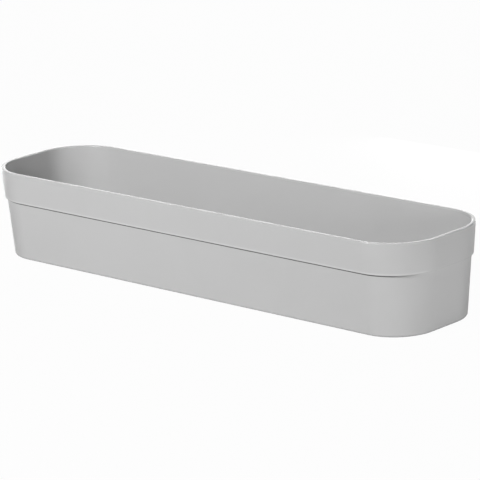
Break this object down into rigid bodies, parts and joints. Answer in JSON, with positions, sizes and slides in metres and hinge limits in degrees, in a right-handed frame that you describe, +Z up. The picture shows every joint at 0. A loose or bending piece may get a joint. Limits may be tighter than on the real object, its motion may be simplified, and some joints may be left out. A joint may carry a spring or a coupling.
{
  "type": "drawer organizer",
  "caption": "Long, narrow open tray with rounded corners, tapered walls and a raised collar below the rim, for sorting small things in a drawer.",
  "frame": {"origin": "middle of the plane that the tray stands on", "axes": "+X along the length, +Y across the width, +Z up, out of the open mouth"},
  "size_m": [0.3, 0.0764, 0.0496],
  "materials": {
    "tray": "satin moulded light grey plastic"
  },
  "bodies": {
    "root": {"tray": "tray"}
  },
  "joints": []
}
